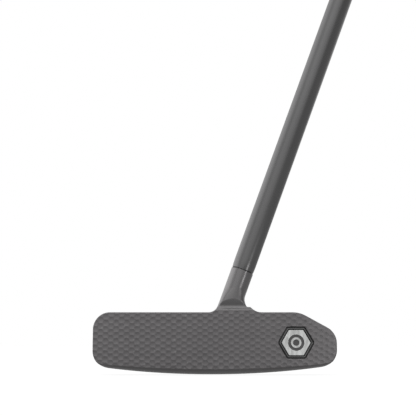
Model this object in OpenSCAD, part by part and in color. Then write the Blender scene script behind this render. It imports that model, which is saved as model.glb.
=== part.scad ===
// Blade putter with a centre-mounted flow neck, an over-hosel steel shaft and a pistol grip.
// Millimetres. The origin is the ground contact point under the head, +Z is up,
// the face looks along -Y, the toe is at -X and the heel and the shaft's lean are at +X.

/* [Head] */
// Heel-to-toe length of the head
head_length = 110.2; // [104:0.1:118]
// Distance from the ground contact point to the toe end
toe_reach = 53.4; // [51:0.2:57]
// Height of the flat top line above the ground
top_height = 28.25; // [26:0.05:31]
// Front-to-back depth of the head
head_depth = 25.5; // [23:0.5:30]
// Depth of the head in front of the ground contact point
front_reach = 9; // [8:0.25:11]
// Height of the leading edge above the ground
leading_edge = 2.4; // [1.5:0.1:3]
// Loft of the face in degrees
loft = 3; // [1:0.5:5]
// Radius of the lower corners and of the corner at the heel's end
corner_r = 8.2; // [5:0.1:9]
// Radius of the upper toe corner
toe_corner_r = 7.6; // [5:0.1:9]
// Radius of the sole from heel to toe
sole_radius = 346; // [280:1:400]
// Slope of the top edge at the heel in degrees
heel_slope = 28.8; // [24:0.2:34]
// Where the heel slope leaves the top line, from the contact point
heel_break = 40.2; // [36:0.2:44]

/* [Back] */
// Thickness of the blade at its top line
blade_thickness = 8.2; // [7:0.2:10]
// Height of the flange behind the blade
flange_height = 7.5; // [6:0.25:10]
// Height of the toe and heel bumpers behind the blade
bumper_height = 19.5; // [16:0.5:23]
// Distance from the face centre to each bumper's inner wall
bumper_inset = 28; // [22:0.5:32]
// Width of the sight line groove
sight_w = 1.6; // [1:0.1:3]
// Depth of the sight line groove
sight_depth = 0.6; // [0.4:0.1:1]

/* [Badge] */
// Width of the hexagonal badge across its flats
badge_flats = 14.3; // [12:0.1:16]
// Distance of the badge's centre from the ground contact point
badge_x = 38.4; // [34:0.2:40]
// Height of the badge's centre up the face from the leading edge
badge_up = 12.2; // [11:0.1:13]
// Depth of the badge pocket in the face
badge_depth = 1.2; // [1:0.1:2]

/* [Neck] */
// Lie angle of the shaft in degrees
lie = 69.8; // [68:0.1:73]
// Where the shaft axis meets the ground, towards the toe
axis_ground = -2.9; // [-6:0.1:0]
// Where the shaft axis lies from front to back
axis_depth = -2.4; // [-3:0.1:-2]
// Diameter of the neck below the shaft
neck_d = 10; // [9.8:0.05:11]
// Distance along the shaft axis from the ground to the shaft's lower end
seam_height = 50.7; // [46:0.1:60]
// Length of the post that the shaft slips over
post_length = 26; // [18:1:34]
// Fillet radius at the neck's toe side
toe_fillet = 4.6; // [3:0.1:6]
// Fillet radius at the neck's heel side
heel_fillet = 6.6; // [5:0.1:8]
// Fillet radius at the heel side of the low pad under the neck
pad_fillet = 6.1; // [5:0.1:7]
// Height of the pad above the top line
pad_rise = 2.4; // [2:0.1:3.2]
// Height of the notch's lower edge above the top line
ledge_rise = 1.1; // [0.8:0.1:1.6]
// Height of the notch across the front of the neck's root
notch_height = 4.2; // [3.6:0.1:5]
// Radius at the bottom of the notch
notch_r = 1.8; // [1.4:0.05:2.2]

/* [Shaft] */
// Club length along the shaft axis from the ground to the butt
club_length = 864; // [810:1:915]
// Outer diameter of the shaft's parallel tip section
tip_d = 10.4; // [10.4:0.05:11.2]
// Outer diameter of the shaft's parallel butt section
butt_d = 14.7; // [14:0.1:15.6]
// Wall thickness of the shaft
wall = 0.45; // [0.41:0.01:0.5]
// Number of steps between the tip and the butt section
steps = 11; // [6:1:14]
// Distance between two steps
step_pitch = 30; // [25:1:33]

/* [Grip] */
// Length of the grip with its cap
grip_length = 267; // [240:1:280]
// Half width of the grip at its lower end
grip_half_w = 9.8; // [9.4:0.1:11]
// Thickness of the grip's outer cover
cover_t = 1.6; // [1.2:0.1:1.8]
// Thickness of the cap at the butt
cap_t = 5; // [4:0.5:7]
// Diameter of the vent hole in the cap
vent_d = 3; // [2.5:0.1:4]

/* [Hidden] */
$fn = 96;

face_y = -front_reach;
back_y = head_depth - front_reach;
toe_x = -toe_reach;
heel_x = head_length - toe_reach;
centre_x = (toe_x + heel_x) / 2;
flat_sink = 0.06;             // how far the rounded sole is cut back into its flat spot
edge_sole_r = 515;            // heel-to-toe radius of the leading edge
front_camber = 17.5;          // front-to-back radius of the sole ahead of the flat spot
back_camber = 60;             // the same behind it
back_camber_y = 4;            // where the rear camber starts
blade_back = face_y + (top_height - leading_edge) * tan(loft) + blade_thickness;
bumper_slope = 14;            // how steeply the bumpers fall towards the back, in degrees
pocket_depth = 2;             // depth of the pocket in the blade's back
rear_corner_r = 9;            // rear corners seen from above
front_corner_r = 2.2;         // front corners seen from above
bond = 0.1;                   // thickness of a film of glue
seam_gap = 0.25;              // gap of glue between the neck's shoulder and the shaft
shaft_start = seam_height + seam_gap;
shaft_end = club_length - cap_t;
bore_r = tip_d / 2 - wall;
post_r = bore_r - bond;
step_start = 215;             // where the first step lies, along the axis from the ground
tip_relief = 0.15;            // how much the shaft's lower end is eased in
tape_t = 0.15;
tape_r = butt_d / 2 + tape_t;
tape_inset = 3;               // how far inside the grip's lower end the tape starts
grip_start = club_length - grip_length;
cover_length = grip_length - cap_t;
ring_length = 9;
big = 200;
eps = 0.01;

// ---- frames -------------------------------------------------------------------------------

// Children are drawn on the lofted face: X heelward, Y into the head, Z up the face.
module on_face() {
    translate([0, face_y, leading_edge]) rotate([-loft, 0, 0]) children();
}

// Children are drawn along the shaft axis: Z up the shaft from the ground.
module on_axis(height = 0) {
    translate([axis_ground, axis_depth, 0]) rotate([0, 90 - lie, 0]) translate([0, 0, height]) children();
}

// Extrudes an outline drawn as [X, Z] through the head from y0 to y1.
module through_y(y0, y1) {
    translate([0, y1, 0]) rotate([90, 0, 0]) linear_extrude(y1 - y0) children();
}

// ---- rounded outlines with true arcs ------------------------------------------------------

function unit(v) = v / norm(v);

// [first tangent point, second tangent point, arc centre] of the corner at p between a and b.
function corner(a, p, b, r) =
    let (u = unit(a - p), v = unit(b - p), half = acos(u * v) / 2, reach = r / tan(half))
    [p + u * reach, p + v * reach, p + unit(u + v) * r / sin(half)];

// A convex outline through pts, whose corners have the radii rs; a radius of 0 stays sharp.
module round_outline(pts, rs) {
    n = len(pts);
    corners = [for (i = [0:n - 1]) corner(pts[(i + n - 1) % n], pts[i], pts[(i + 1) % n], max(rs[i], eps))];
    polygon([for (i = [0:n - 1], k = [0, 1]) corners[i][k]]);
    for (i = [0:n - 1])
        if (rs[i] > 0) translate(corners[i][2]) circle(rs[i]);
}

module hexagon(flats, r) {
    reach = flats / 2 / cos(30);
    round_outline([for (i = [0:5]) reach * [cos(60 * i), sin(60 * i)]], [for (i = [0:5]) r]);
}

// ---- head ---------------------------------------------------------------------------------

// A point of the sole's arc, and the arc's slope there.
function sole_z(x) = sole_radius - sqrt(sole_radius * sole_radius - x * x);
function sole_slope(x) = x / sqrt(sole_radius * sole_radius - x * x);

// Front outline of the head as [X, Z]. The two lower edges are tangents of the sole's arc.
module front_outline() {
    toe_touch = toe_x + corner_r;
    heel_touch = heel_x - corner_r;
    toe_m = sole_slope(toe_touch);
    heel_m = sole_slope(heel_touch);
    toe_c = sole_z(toe_touch) - toe_m * toe_touch;
    heel_c = sole_z(heel_touch) - heel_m * heel_touch;
    meet_x = (heel_c - toe_c) / (toe_m - heel_m);
    slope_end = top_height - (heel_x - heel_break) * tan(heel_slope);
    translate([0, -flat_sink])
    intersection() {
        translate([0, sole_radius]) circle(sole_radius, $fn = 360);
        round_outline(
            [[toe_x, toe_c + toe_m * toe_x], [meet_x, toe_c + toe_m * meet_x],
             [heel_x, heel_c + heel_m * heel_x], [heel_x, slope_end + flat_sink],
             [heel_break, top_height + flat_sink], [toe_x, top_height + flat_sink]],
            [corner_r, 0, corner_r, corner_r, corner_r * 1.5, toe_corner_r]);
    }
}

// Outline of the head seen from above.
module top_outline() {
    round_outline(
        [[toe_x - eps, face_y - eps], [heel_x + eps, face_y - eps],
         [heel_x + eps, back_y], [toe_x - eps, back_y]],
        [front_corner_r, front_corner_r, rear_corner_r, rear_corner_r]);
}

// A barrel about an axis along Y, whose rim has the sole's front and rear camber.
module sole_barrel() {
    translate([0, 0, edge_sole_r - flat_sink]) rotate([-90, 0, 0])
    rotate_extrude($fn = 360) {
        translate([0, face_y - 3]) square([edge_sole_r - front_camber, 3 + front_reach]);
        intersection() {
            translate([edge_sole_r - front_camber, 0]) circle(front_camber);
            translate([0, face_y - 3]) square([edge_sole_r + 1, 3 + front_reach]);
        }
        translate([0, -eps]) square([edge_sole_r, back_camber_y + eps]);
        translate([0, back_camber_y - eps]) square([edge_sole_r - back_camber, back_y]);
        intersection() {
            translate([edge_sole_r - back_camber, back_camber_y]) circle(back_camber);
            translate([0, back_camber_y - eps]) square([edge_sole_r + 1, back_y]);
        }
    }
}

// The step between the blade, the low flange and the two bumpers, taken away behind the blade.
module rear_relief() {
    inner_r = 4;
    flare = 4;                // how far the bumpers' inner walls lean apart above the top line
    over = 8;
    pocket_margin = 4;        // rim of the pocket at its sides and top
    pocket_foot = 2.5;        // rim of the pocket above the flange
    pocket_r = 3;
    wall_x = bumper_inset;
    rear_z = bumper_height - (back_y - blade_back) * tan(bumper_slope);
    // between the bumpers, down to the flange
    translate([centre_x, 0, 0])
    through_y(blade_back, big)
    round_outline([[-wall_x, flange_height], [wall_x, flange_height],
                   [wall_x + flare, top_height + over], [-wall_x - flare, top_height + over]],
                  [inner_r, inner_r, 0, 0]);
    // above the bumpers, falling towards the back
    translate([-big / 2, 0, 0]) rotate([90, 0, 90]) linear_extrude(big)
        polygon([[blade_back, bumper_height], [back_y, rear_z], [back_y + 1, rear_z],
                 [back_y + 1, top_height + 1], [blade_back, top_height + 1]]);
    // a shallow pocket in the blade's back
    translate([centre_x, 0, 0])
    through_y(blade_back - pocket_depth, blade_back + 1)
    round_outline([[-wall_x + pocket_margin, flange_height + pocket_foot],
                   [wall_x - pocket_margin, flange_height + pocket_foot],
                   [wall_x - pocket_margin, top_height - pocket_margin],
                   [-wall_x + pocket_margin, top_height - pocket_margin]],
                  [pocket_r, pocket_r, pocket_r, pocket_r]);
}

// X of the shaft axis at height z, and half the neck's width along X.
function axis_at(z) = axis_ground + z / tan(lie);
neck_reach = neck_d / 2 / sin(lie);
heel_sink = 0.6;              // how far the heel fillet would run below the top line
fillet_sink = 0.1;            // the same for the toe fillet and the pad
pad_depth = 6;                // how far the flare and the pad reach down into the head
pad_reach = 4;                // how far the pad reaches heelwards of the neck
pad_x = axis_at(top_height) + neck_reach + pad_fillet + pad_reach;

// Outline of the neck's flared root as [X, Z], with the two fillets as true arcs.
module flare_outline() {
    up = [cos(lie), sin(lie)];
    toe_level = top_height - fillet_sink;
    heel_level = top_height - heel_sink;
    toe_corner = [axis_at(toe_level) - neck_reach, toe_level];
    heel_corner = [axis_at(heel_level) + neck_reach, heel_level];
    toe_t = toe_fillet * tan(lie / 2);
    heel_t = heel_fillet / tan(lie / 2);
    difference() {
        polygon([toe_corner - [toe_t, 0], toe_corner - [toe_t, pad_depth],
                 heel_corner + [heel_t, -pad_depth], heel_corner + [heel_t, 0],
                 heel_corner + up * heel_t, toe_corner + up * toe_t]);
        translate(toe_corner + [-toe_t, toe_fillet]) circle(toe_fillet);
        translate(heel_corner + [heel_t, heel_fillet]) circle(heel_fillet);
    }
}

// Outline of the low pad that carries the neck, from the shaft axis to its heel end.
module pad_outline() {
    pad_top = top_height + pad_rise;
    difference() {
        polygon([[axis_at(top_height), top_height - pad_depth], [pad_x, top_height - pad_depth],
                 [pad_x, pad_top], [axis_at(top_height), pad_top]]);
        translate([pad_x, top_height - fillet_sink + pad_fillet]) circle(pad_fillet);
    }
}

// Section of the notch as [depth into the face, height up the face]: a lip that falls forwards, a
// hollow of radius notch_r in facets, and a flank that rises forwards.
module notch_section() {
    edge = top_height - leading_edge + ledge_rise;
    front = 8;
    flank = 60;
    lip = 50;
    facets = 5;
    meet = notch_height / (tan(flank) + tan(lip));
    low = [-front, edge - front * tan(lip)];
    high = [-front, edge + notch_height + front * tan(flank)];
    centre = corner(low, [meet, edge + meet * tan(lip)], high, notch_r)[2];
    polygon(concat([low], [for (i = [0:facets])
        let (a = lip - 90 + (180 - flank - lip) * i / facets) centre + notch_r * [cos(a), sin(a)]], [high]));
}

// Outline of the flared root seen from above, a lens as deep as the neck.
module flare_lens() {
    lens_r = 12;
    overlap = 0.05;           // how far the lens stands proud of the round neck
    lens_x = axis_at(top_height) + heel_fillet - toe_fillet;
    intersection_for (side = [-1, 1])
        translate([lens_x, axis_depth + side * (lens_r - neck_d / 2 + overlap)]) circle(lens_r);
}

module sight_groove(depth, grow) {
    margin = 2;
    translate([centre_x - sight_w / 2, blade_back + margin, flange_height - depth])
        cube([sight_w, back_y - blade_back - 2 * margin, depth + grow]);
}

module head_body() {
    neck_foot = 24;
    post_chamfer = 1;
    flare_foot = top_height - 8;
    flare_tall = 30;
    notch_start = axis_ground - 4;
    notch_length = 40;
    color([0.36, 0.355, 0.36])
    difference() {
        union() {
            difference() {
                intersection() {
                    through_y(face_y - 1, back_y) front_outline();
                    sole_barrel();
                    translate([0, 0, -1]) linear_extrude(top_height + 2) top_outline();
                }
                rear_relief();
            }
            intersection() {
                through_y(face_y, back_y) flare_outline();
                union() {
                    translate([0, 0, flare_foot]) linear_extrude(flare_tall) flare_lens();
                    translate([-big / 2, face_y - 1, top_height - pad_depth])
                        cube([big, blade_back - face_y + 1, pad_depth + pad_rise]);
                }
            }
            through_y(face_y, blade_back) pad_outline();
            on_axis(neck_foot) sphere(d = neck_d);
            on_axis(neck_foot) cylinder(d = neck_d, h = seam_height - neck_foot);
            on_axis(seam_height - 1) cylinder(r = post_r, h = post_length + 1 - post_chamfer);
            on_axis(seam_height + post_length - post_chamfer)
                cylinder(r1 = post_r, r2 = post_r - post_chamfer, h = post_chamfer);
        }
        // ground plane
        translate([-big / 2, -big / 2, -big]) cube([big, big, big]);
        // the lofted face, up to the notch
        on_face() translate([-big / 2, -big, -big / 2])
            cube([big, big, big / 2 + top_height - leading_edge + pad_rise]);
        // the notch across the front of the neck's root
        on_face() translate([notch_start, 0, 0]) rotate([90, 0, 90]) linear_extrude(notch_length)
            notch_section();
        // pocket for the badge
        on_face() translate([badge_x, 0, badge_up]) through_y(-1, badge_depth) hexagon(badge_flats, rim_r);
        sight_groove(sight_depth, 2);
    }
}

module sight_line_fill() {
    color("white") sight_groove(sight_depth, -0.1);
}

// ---- badge, in layers from the pocket's floor -----------------------------------------------

module in_badge(y0, y1) {
    on_face() translate([badge_x, 0, badge_up]) through_y(y0, y1) children();
}

base_t = 0.5;                 // thickness of the badge's base plate
ridge_out = badge_flats - 1.2;
ridge_in = ridge_out - 0.8;
plate_flats = badge_flats - 3;
rim_r = 1.2;                  // corner radii of the badge's hexagons, from outside to inside
ridge_out_r = 0.9;
ridge_in_r = 0.7;
plate_r = 0.5;
enamel_sink = 0.12;           // how far the enamel lies below the metal
motif_r = 3.6;                // the ring of the motif
motif_line = 1.2;
motif_dot = 1.4;
motif_depth = 0.35;

module motif() {
    difference() {
        circle(motif_r);
        circle(motif_r - motif_line);
    }
    circle(motif_dot);
}

module badge_plate() {
    floor_y = badge_depth - bond;
    color([0.72, 0.72, 0.72])
    difference() {
        union() {
            in_badge(floor_y - base_t, floor_y) hexagon(badge_flats, rim_r);
            in_badge(0, floor_y - base_t + eps) hexagon(plate_flats, plate_r);
            in_badge(0, floor_y - base_t + eps) difference() {
                hexagon(ridge_out, ridge_out_r);
                hexagon(ridge_in, ridge_in_r);
            }
        }
        in_badge(-1, motif_depth) motif();
    }
}

module badge_border_fill() {
    color([0.05, 0.05, 0.05])
    in_badge(enamel_sink, badge_depth - bond - base_t) {
        difference() {
            hexagon(badge_flats, rim_r);
            hexagon(ridge_out, ridge_out_r);
        }
        difference() {
            hexagon(ridge_in, ridge_in_r);
            hexagon(plate_flats, plate_r);
        }
    }
}

module badge_motif_fill() {
    color([0.08, 0.08, 0.08]) in_badge(enamel_sink, motif_depth) motif();
}

module badge_adhesive() {
    color([0.8, 0.75, 0.6]) in_badge(badge_depth - bond, badge_depth) hexagon(badge_flats, rim_r);
}

// ---- shaft ----------------------------------------------------------------------------------

function step_r(k) = (tip_d + (butt_d - tip_d) * k / steps) / 2;

// Outer profile as [radius, height], with each step a short cone.
module shaft_wall(inset) {
    step_rise = 0.8;
    end_ease = 4;
    relief = inset == 0 ? tip_relief : 0;
    polygon(concat(
        [[0, shaft_start - inset], [step_r(0) - inset - relief, shaft_start - inset],
         [step_r(0) - inset, shaft_start + end_ease]],
        [for (k = [1:steps], j = [0, 1])
            [step_r(k - 1 + j) - inset, step_start + (k - 1) * step_pitch + j * step_rise]],
        [[step_r(steps) - inset, shaft_end + inset], [0, shaft_end + inset]]));
}

module shaft() {
    color([0.33, 0.33, 0.34])
    on_axis() rotate_extrude() difference() {
        shaft_wall(0);
        shaft_wall(wall);
    }
}

module hosel_epoxy() {
    color([0.12, 0.12, 0.12])
    on_axis(seam_height) difference() {
        union() {
            cylinder(r = bore_r, h = post_length - 1.5);
            cylinder(r = neck_d / 2 - 0.08, h = seam_gap);
        }
        translate([0, 0, -eps]) cylinder(r = post_r, h = post_length);
    }
}

// ---- grip -----------------------------------------------------------------------------------

// Half sizes of the grip's cross-section at t, from 0 at its lower end to 1 at the butt.
function bulge(t, at, spread) = exp(-pow((t - at) / spread, 2));
function half_w(t) = grip_half_w + 2.0 * t + 0.5 * bulge(t, 0.9, 0.15);
function half_front(t) = grip_half_w - 0.1 + 0.9 * t;
function half_back(t) = grip_half_w + 1.9 * t + 3.4 * bulge(t, 0.9, 0.14) - 0.4 * bulge(t, 0.66, 0.1);

// A point of the cross-section, pulled in by inset. The front is flatter than the back.
function spow(v, p) = sign(v) * pow(abs(v), p);
function grip_point(t, a, inset) =
    let (front = cos(a) < 0, p = front ? 2 / 3.6 : 2 / 2.3, h = front ? half_front(t) : half_back(t))
    [(h - inset) * spow(cos(a), p), (half_w(t) - inset) * spow(sin(a), p)];

grip_sides = 36;
grip_rings = 30;

// A solid with the grip's outer shape, pulled in by inset.
module grip_loft(inset, length) {
    points = [for (i = [0:grip_rings], j = [0:grip_sides - 1])
        let (t = i / grip_rings * length / grip_length, q = grip_point(t, 360 * j / grip_sides, inset))
        [q[0], q[1], t * grip_length]];
    sides = [for (i = [0:grip_rings - 1], j = [0:grip_sides - 1])
        let (k = (j + 1) % grip_sides, a = i * grip_sides, b = a + grip_sides)
        [a + j, b + j, b + k, a + k]];
    polyhedron(points, concat(sides,
        [[for (j = [0:grip_sides - 1]) j]],
        [[for (j = [grip_sides - 1:-1:0]) grip_rings * grip_sides + j]]));
}

module grip_section(t, inset) {
    polygon([for (j = [0:grip_sides - 1]) grip_point(t, 360 * j / grip_sides, inset)]);
}

module grip_tape() {
    color([0.85, 0.82, 0.7])
    on_axis(grip_start + tape_inset) difference() {
        cylinder(r = tape_r, h = cover_length - tape_inset);
        translate([0, 0, -1]) cylinder(d = butt_d, h = grip_length);
    }
}

module grip_core() {
    color([0.2, 0.2, 0.2])
    on_axis(grip_start) difference() {
        grip_loft(cover_t, cover_length);
        translate([0, 0, tape_inset]) cylinder(r = tape_r, h = grip_length);
        translate([0, 0, -1]) cylinder(d = butt_d, h = grip_length);
    }
}

module grip_cover() {
    color([0.09, 0.09, 0.1])
    on_axis(grip_start) difference() {
        grip_loft(0, cover_length);
        intersection() {
            grip_loft(cover_t, cover_length);
            translate([-50, -50, -1]) cube([100, 100, grip_length]);
        }
    }
}

module grip_end_ring() {
    lip = 0.9;
    color([0.07, 0.07, 0.07])
    on_axis(grip_start - ring_length) difference() {
        cylinder(r1 = butt_d / 2 + lip, r2 = grip_half_w - 0.1, h = ring_length);
        translate([0, 0, -1]) cylinder(d = butt_d, h = ring_length + 2);
    }
}

module grip_cap() {
    rim = 1.4;
    color([0.06, 0.06, 0.06])
    on_axis(club_length - cap_t) difference() {
        union() {
            linear_extrude(cap_t - rim) grip_section(1, 0);
            linear_extrude(cap_t - rim / 2) grip_section(1, 0.5);
            linear_extrude(cap_t) grip_section(1, 1.4);
        }
        translate([0, 0, -1]) cylinder(d = vent_d, h = cap_t + 2);
    }
}

head_body();
badge_plate();
badge_border_fill();
badge_motif_fill();
badge_adhesive();
sight_line_fill();
shaft();
hosel_epoxy();
grip_tape();
grip_core();
grip_cover();
grip_end_ring();
grip_cap();
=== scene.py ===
"""Looks of the blade putter: milled head, badge, shaft and grip, with camera, floor and light."""

import math

import bmesh
import bpy
import numpy as np
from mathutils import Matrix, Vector


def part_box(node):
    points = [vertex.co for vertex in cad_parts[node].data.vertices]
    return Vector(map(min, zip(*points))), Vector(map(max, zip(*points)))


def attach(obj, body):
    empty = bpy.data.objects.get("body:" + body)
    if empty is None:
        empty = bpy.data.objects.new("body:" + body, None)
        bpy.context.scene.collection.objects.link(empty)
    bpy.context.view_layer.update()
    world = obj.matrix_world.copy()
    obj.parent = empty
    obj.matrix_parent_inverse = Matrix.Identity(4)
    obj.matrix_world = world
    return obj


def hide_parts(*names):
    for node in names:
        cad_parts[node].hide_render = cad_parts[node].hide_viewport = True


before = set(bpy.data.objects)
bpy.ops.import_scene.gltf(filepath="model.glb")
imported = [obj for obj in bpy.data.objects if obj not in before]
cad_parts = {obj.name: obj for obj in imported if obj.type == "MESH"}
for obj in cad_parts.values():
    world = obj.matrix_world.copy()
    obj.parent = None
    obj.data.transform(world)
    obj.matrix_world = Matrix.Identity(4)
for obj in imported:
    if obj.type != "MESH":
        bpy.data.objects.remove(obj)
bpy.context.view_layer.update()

MM = 0.001
BODY = "root"

# ---- sizes shared with the CAD design, in millimetres ---------------------------------------

TOE_X, HEEL_X = (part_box("head_body")[i].x / MM for i in (0, 1))
FACE_Y, BACK_Y = (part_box("head_body")[i].y / MM for i in (0, 1))
CENTRE_X = (TOE_X + HEEL_X) / 2
TOP_Z = 28.25
LEADING_EDGE = 2.4
LOFT = math.radians(3)
LIE = math.radians(69.8)
CORNER_R, TOE_CORNER_R = 8.2, 7.6
HEEL_BREAK_R = CORNER_R * 1.5
SOLE_R = 346
EDGE_SOLE_R = 515
FRONT_CAMBER, BACK_CAMBER, BACK_CAMBER_Y = 17.5, 60, 4
FLAT_SINK = 0.06
HEEL_SLOPE = math.radians(28.8)
HEEL_BREAK = 40.2
BLADE_BACK = FACE_Y + (TOP_Z - LEADING_EDGE) * math.tan(LOFT) + 8.2
FLANGE_Z = 7.5
BUMPER_Z, BUMPER_SLOPE, BUMPER_INSET = 19.5, math.radians(14), 28
BUMPER_FLARE, FLANGE_FILLET, BUMPER_FILLET, BLADE_FILLET = 4, 4, 0.8, 1.6
POCKET_DEPTH, POCKET_INSET, POCKET_LIFT, POCKET_DROP, POCKET_R, POCKET_EDGE = 2, 4, 2.5, 4, 3, 0.9
REAR_CORNER_R, FRONT_CORNER_R = 9, 2.2
AXIS_X, AXIS_Y = -2.9, -2.4
NECK_R, POST_R = 5.0, 4.65
SEAM, POST_LENGTH = 50.7, 26
TOE_FILLET, HEEL_FILLET, HEEL_SINK = 4.6, 6.6, 0.6
PAD_FILLET, PAD_RISE, PAD_REACH, PAD_SINK = 6.1, 2.4, 4.0, 4
LEDGE_RISE, NOTCH_HEIGHT, NOTCH_R, NOTCH_MOUTH = 1.1, 4.2, 1.8, 8
NOTCH_FLANK, NOTCH_LIP = math.tan(math.radians(60)), math.tan(math.radians(50))
BADGE_X, BADGE_UP, BADGE_FLATS, BADGE_R, BADGE_DEPTH = 38.4, 12.2, 14.3, 1.2, 1.2
SIGHT_W, SIGHT_DEPTH, SIGHT_MARGIN = 1.6, 0.6, 2

# Radii of rounded edges, and of corners that stay square.
END_EDGE, BACK_EDGE, RELIEF_EDGE, SOLE_EDGE, FACE_EDGE, NOTCH_EDGE = 1.2, 1.0, 0.7, 1.2, 0.2, 0.3
PAD_EDGE, PAD_BACK_EDGE, SEAM_EDGE, POST_EDGE, INLAY_EDGE = 0.3, 0.7, 0.12, 0.8, 0.08
SQUARE = 0.01

UP_SHAFT = np.array([math.cos(LIE), 0, math.sin(LIE)])
FACE_OUT = np.array([0, -math.cos(LOFT), math.sin(LOFT)])
FACE_UP = np.array([0, math.sin(LOFT), math.cos(LOFT)])

# ---- signed distances: negative inside, in millimetres --------------------------------------


def cut_round(a, b, r):
    """Intersection of two shapes, whose shared edge is rounded to radius r."""
    inside = np.minimum(np.maximum(a, b), -r)
    return inside + np.hypot(np.maximum(a + r, 0), np.maximum(b + r, 0))


def join_round(a, b, r):
    """Union of two shapes, whose shared corner is filled with a fillet of radius r."""
    return -cut_round(-a, -b, r)


def join_soft(a, b, k):
    """Union of two shapes that flow into each other over about k."""
    h = np.clip(0.5 + 0.5 * (b - a) / k, 0, 1)
    return b + (a - b) * h - k * h * (1 - h)


def rounded_polygon(x, z, points, radii):
    """Distance to a convex polygon, given anticlockwise, whose corners have their own radii."""
    points = np.array(points, float)
    n = len(points)
    dist = np.full(np.broadcast(x, z).shape, -1e9)
    for i in range(n):
        p, q = points[i], points[(i + 1) % n]
        ux, uz = (q - p) / np.linalg.norm(q - p)
        dist = np.maximum(dist, (x - p[0]) * uz - (z - p[1]) * ux)
    for i in range(n):
        p = points[i]
        a = points[i - 1] - p
        b = points[(i + 1) % n] - p
        a, b = a / np.linalg.norm(a), b / np.linalg.norm(b)
        half = math.acos(a @ b) / 2
        centre = p + (a + b) / np.linalg.norm(a + b) * radii[i] / math.sin(half)
        dx, dz = x - centre[0], z - centre[1]
        in_corner = (dx * a[0] + dz * a[1] < 0) & (dx * b[0] + dz * b[1] < 0)
        dist = np.where(in_corner, np.hypot(dx, dz) - radii[i], dist)
    return dist


def sole_line(x):
    """Height and slope of the sole's heel-to-toe arc at x."""
    rest = math.sqrt(SOLE_R ** 2 - x ** 2)
    return SOLE_R - rest, x / rest


def front_outline(x, z):
    """Distance to the head's outline seen from the front."""
    toe_touch, heel_touch = TOE_X + CORNER_R, HEEL_X - CORNER_R
    (toe_z, toe_m), (heel_z, heel_m) = sole_line(toe_touch), sole_line(heel_touch)
    toe_c, heel_c = toe_z - toe_m * toe_touch, heel_z - heel_m * heel_touch
    meet = (heel_c - toe_c) / (toe_m - heel_m)
    slope_end = TOP_Z - (HEEL_X - HEEL_BREAK) * math.tan(HEEL_SLOPE)
    corners = [(TOE_X, toe_c + toe_m * TOE_X), (meet, toe_c + toe_m * meet),
               (HEEL_X, heel_c + heel_m * HEEL_X), (HEEL_X, slope_end),
               (HEEL_BREAK, TOP_Z), (TOE_X, TOP_Z)]
    radii = [CORNER_R, SQUARE, CORNER_R, CORNER_R, HEEL_BREAK_R, TOE_CORNER_R]
    lifted = z + FLAT_SINK
    outline = rounded_polygon(x, np.where(z > TOP_Z / 2, z, lifted), corners, radii)
    return np.maximum(outline, np.hypot(x, lifted - SOLE_R) - SOLE_R)


# How far the outline from above stands clear of the front, and of the ends and the back, which
# their own outlines set. Its rear corners grow with it, so that they cut off as much as before.
FRONT_CLEAR, CLEAR, CORNER_GROWTH = 0.4, 1.2, 3.4


def top_outline(x, y):
    """Distance to the head's outline seen from above."""
    left, right, back = TOE_X - CLEAR, HEEL_X + CLEAR, BACK_Y + CLEAR
    front = FACE_Y - FRONT_CLEAR
    corners = [(left, front), (right, front), (right, back), (left, back)]
    rear = REAR_CORNER_R + CORNER_GROWTH * CLEAR
    return rounded_polygon(x, y, corners, [FRONT_CORNER_R, FRONT_CORNER_R, rear, rear])


def sole_camber(x, y, z):
    """Distance to the sole's front-to-back camber, swept along the heel-to-toe arc."""
    rim = np.hypot(x, z + FLAT_SINK - EDGE_SOLE_R) - EDGE_SOLE_R
    front = np.hypot(np.minimum(y, 0), rim + FRONT_CAMBER) - FRONT_CAMBER
    back = np.hypot(np.maximum(y - BACK_CAMBER_Y, 0), rim + BACK_CAMBER) - BACK_CAMBER
    return np.maximum(front, back)


def rear_relief(x, y, z):
    """Distance to the space behind the blade, above the flange and the bumpers."""
    u = x - CENTRE_X
    foot, mouth, high = BUMPER_INSET, BUMPER_INSET + BUMPER_FLARE, TOP_Z + 8
    corners = [(-foot, FLANGE_Z), (foot, FLANGE_Z), (mouth, high), (-mouth, high)]
    middle = rounded_polygon(u, z, corners, [FLANGE_FILLET, FLANGE_FILLET, SQUARE, SQUARE])
    above = -(z - BUMPER_Z + (y - BLADE_BACK) * math.tan(BUMPER_SLOPE)) * math.cos(BUMPER_SLOPE)
    opening = join_round(middle, above, BUMPER_FILLET)
    relief = cut_round(opening, BLADE_BACK - y, BLADE_FILLET)

    half, low, top = BUMPER_INSET - POCKET_INSET, FLANGE_Z + POCKET_LIFT, TOP_Z - POCKET_DROP
    corners = [(-half, low), (half, low), (half, top), (-half, top)]
    pocket = rounded_polygon(u, z, corners, [POCKET_R] * 4)
    pocket = cut_round(pocket, BLADE_BACK - POCKET_DEPTH - y, POCKET_EDGE)
    return join_round(relief, pocket, 0.3)


# The neck's root. Below ROOT_FADE_Z its rear half is ROOT_THIN of its full depth, which it reaches
# ROOT_FADE higher. Its section is a superellipse of power FOOT_POWER up to OVAL_RISE above the top
# line, and eases to an ellipse over OVAL_FADE.
NECK_REACH = NECK_R / math.sin(LIE)
FOOT_X = AXIS_X + TOP_Z / math.tan(LIE)
ROOT_THIN, ROOT_FADE_Z, ROOT_FADE = 0.35, TOP_Z - 12, 14
FOOT_POWER, OVAL_RISE, OVAL_FADE = 5, 3, 8
ROOT_DEPTH, NECK_START, ROOT_BLEND, ROOT_FILLET = 14, 24, 0.6, 0.5


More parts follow.
